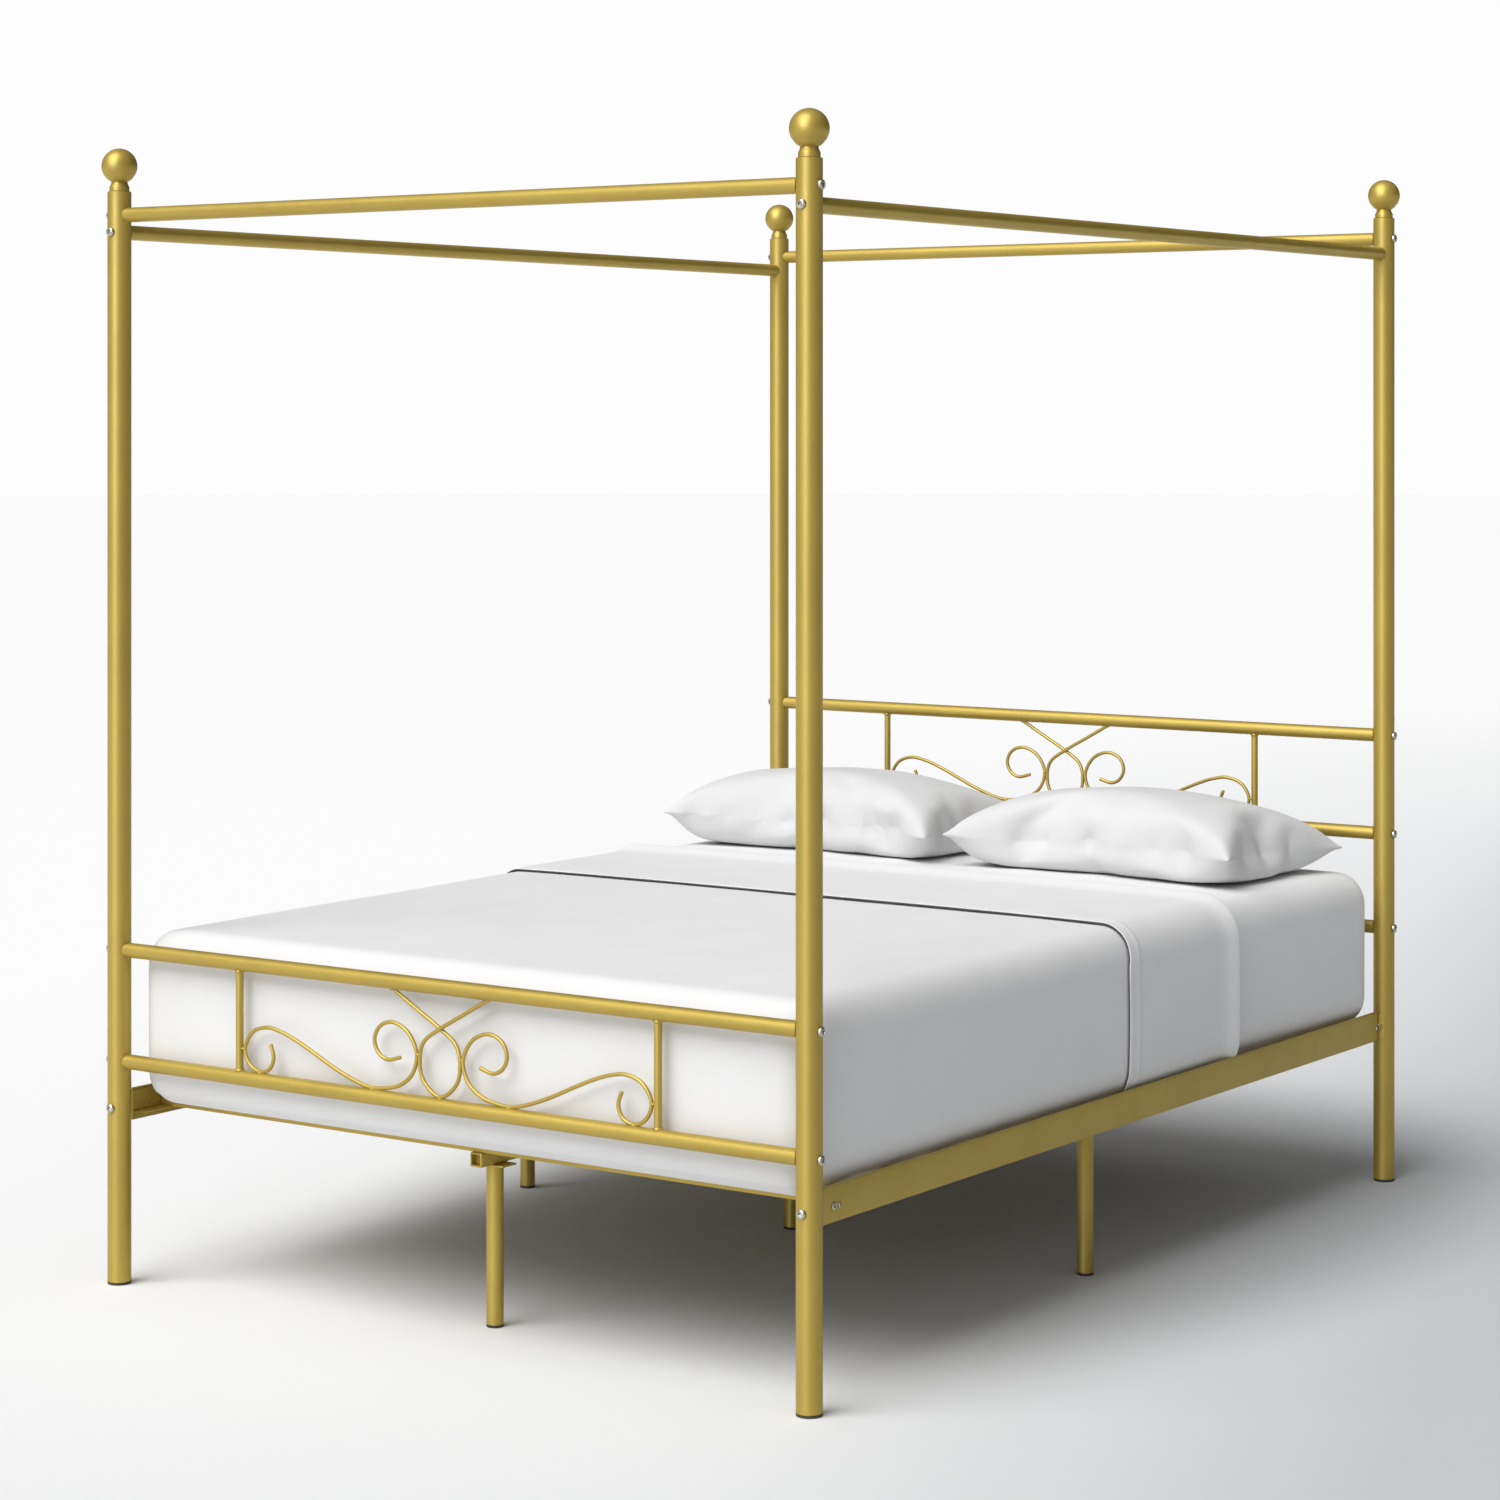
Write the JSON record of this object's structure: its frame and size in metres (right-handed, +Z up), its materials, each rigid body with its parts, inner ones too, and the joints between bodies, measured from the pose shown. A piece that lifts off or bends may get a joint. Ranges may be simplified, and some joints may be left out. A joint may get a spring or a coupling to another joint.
{
  "type": "four poster canopy bed",
  "caption": "Round steel tube canopy bed with ball finials, scrolled headboard and footboard, slatted platform, mattress, folded top sheet and pillows.",
  "frame": {"origin": "on the floor, under the middle of the rectangle of the four posts", "axes": "+Z up, +Y from the foot end to the head end, +X towards the right-hand side seen from the foot end"},
  "size_m": [1.4632, 2.0312, 1.916],
  "materials": {
    "gold_paint": "satin gold powder coat on steel",
    "nickel_steel": "bright nickel-plated bolts",
    "foot_plastic": "dark moulded floor glide",
    "mattress_cover": "plain white fitted sheet over the mattress",
    "sheet_cotton": "white woven cotton with a piped hem",
    "pillow_cotton": "white woven cotton pillowcase"
  },
  "bodies": {
    "frame": {"canopy_foot_rail": "gold_paint", "canopy_foot_rail_bolt_left": "nickel_steel", "canopy_foot_rail_bolt_right": "nickel_steel", "canopy_head_rail": "gold_paint", "canopy_head_rail_bolt_left": "nickel_steel", "canopy_head_rail_bolt_right": "nickel_steel", "canopy_left_rail": "gold_paint", "canopy_left_rail_bolt_foot": "nickel_steel", "canopy_left_rail_bolt_head": "nickel_steel", "canopy_right_rail": "gold_paint", "canopy_right_rail_bolt_foot": "nickel_steel", "canopy_right_rail_bolt_head": "nickel_steel", "centre_beam": "gold_paint", "centre_leg_foot": "gold_paint", "centre_leg_head": "gold_paint", "centre_leg_middle": "gold_paint", "foot_left_bracket": "gold_paint", "foot_left_finial": "gold_paint", "foot_left_glide": "foot_plastic", "foot_left_post": "gold_paint", "foot_right_bracket": "gold_paint", "foot_right_finial": "gold_paint", "foot_right_glide": "foot_plastic", "foot_right_post": "gold_paint", "footboard_lower_bolt_left": "nickel_steel", "footboard_lower_bolt_right": "nickel_steel", "footboard_scroll_panel": "gold_paint", "footboard_top_bolt_left": "nickel_steel", "footboard_top_bolt_right": "nickel_steel", "footboard_top_rail": "gold_paint", "head_left_bracket": "gold_paint", "head_left_finial": "gold_paint", "head_left_glide": "foot_plastic", "head_left_post": "gold_paint", "head_right_bracket": "gold_paint", "head_right_finial": "gold_paint", "head_right_glide": "foot_plastic", "head_right_post": "gold_paint", "headboard_lower_bolt_left": "nickel_steel", "headboard_lower_bolt_right": "nickel_steel", "headboard_lower_rail": "gold_paint", "headboard_middle_bolt_left": "nickel_steel", "headboard_middle_bolt_right": "nickel_steel", "headboard_scroll_panel": "gold_paint", "headboard_top_bolt_left": "nickel_steel", "headboard_top_bolt_right": "nickel_steel", "headboard_top_rail": "gold_paint", "left_side_rail": "gold_paint", "left_side_rail_bolt_foot": "nickel_steel", "left_side_rail_bolt_head": "nickel_steel", "right_side_rail": "gold_paint", "right_side_rail_bolt_foot": "nickel_steel", "right_side_rail_bolt_head": "nickel_steel", "side_leg_left": "gold_paint", "side_leg_right": "gold_paint", "slat_deck": "gold_paint"},
    "mattress": {"mattress": "mattress_cover", "top_sheet": "sheet_cotton"},
    "left_pillow": {"left_pillow": "pillow_cotton"},
    "right_pillow": {"right_pillow": "pillow_cotton"}
  },
  "joints": [
    {"name": "mattress_lift", "type": "slide", "parent": "frame", "child": "mattress", "axis": [0, 0, 1], "range_m": [0, 0.3]},
    {"name": "left_pillow_lift", "type": "slide", "parent": "mattress", "child": "left_pillow", "axis": [0, 0, 1], "range_m": [0, 0.25]},
    {"name": "right_pillow_lift", "type": "slide", "parent": "mattress", "child": "right_pillow", "axis": [0, 0, 1], "range_m": [0, 0.25]}
  ]
}
